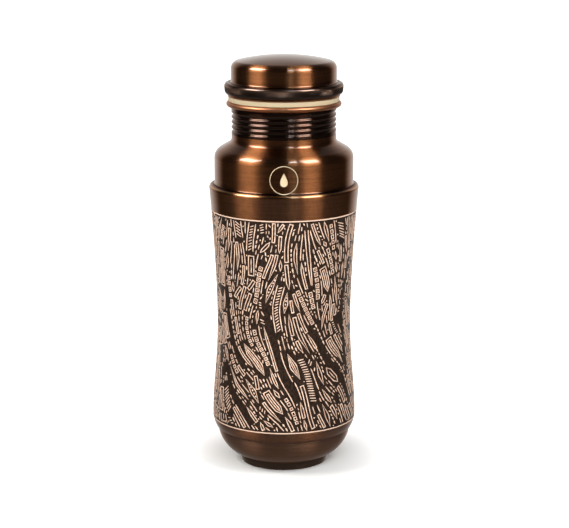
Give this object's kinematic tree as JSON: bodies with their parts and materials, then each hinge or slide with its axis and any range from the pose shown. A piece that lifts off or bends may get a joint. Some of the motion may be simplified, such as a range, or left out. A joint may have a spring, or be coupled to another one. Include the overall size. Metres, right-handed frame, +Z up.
{
  "type": "copper water bottle",
  "caption": "Upright waisted copper water bottle with an etched band and a knurled screw lid that seals on a washer at the mouth.",
  "frame": {"origin": "centre of the foot ring, on the surface that the bottle stands on", "axes": "+Z up along the bottle's axis; -Y is the front, which carries the printed mark"},
  "size_m": [0.076, 0.076, 0.2104],
  "materials": {
    "antique_copper": "lacquered antique brown, brushed round the axis",
    "bare_copper": "polished copper",
    "blackened_copper": "blackened, diamond knurl",
    "filler_metal": "as flowed",
    "silicone": "matt cream silicone"
  },
  "bodies": {
    "bottle": {"barrel": "antique_copper", "shoulder": "antique_copper", "mouth_ring": "bare_copper", "shoulder_braze": "filler_metal", "base_cup": "antique_copper", "base_braze": "filler_metal", "foot_ring": "antique_copper", "foot_solder": "filler_metal"},
    "washer": {"gasket": "silicone"},
    "lid": {"lid_cap": "antique_copper", "knurled_ring": "blackened_copper", "lid_plug": "bare_copper", "lid_solder": "filler_metal"}
  },
  "joints": [
    {"name": "lid_rise", "type": "slide", "parent": "bottle", "child": "washer", "axis": [0, 0, 1], "range_m": [0, 0.0183]},
    {"name": "lid_turn", "type": "hinge", "parent": "washer", "child": "lid", "pos_m": [0, 0, 0.19], "axis": [0, 0, 1], "range_deg": [0, 2520]}
  ],
  "couplings": [
    {"joint": "lid_rise", "follows": "lid_turn", "m_per_rad": 0.0004138}
  ]
}
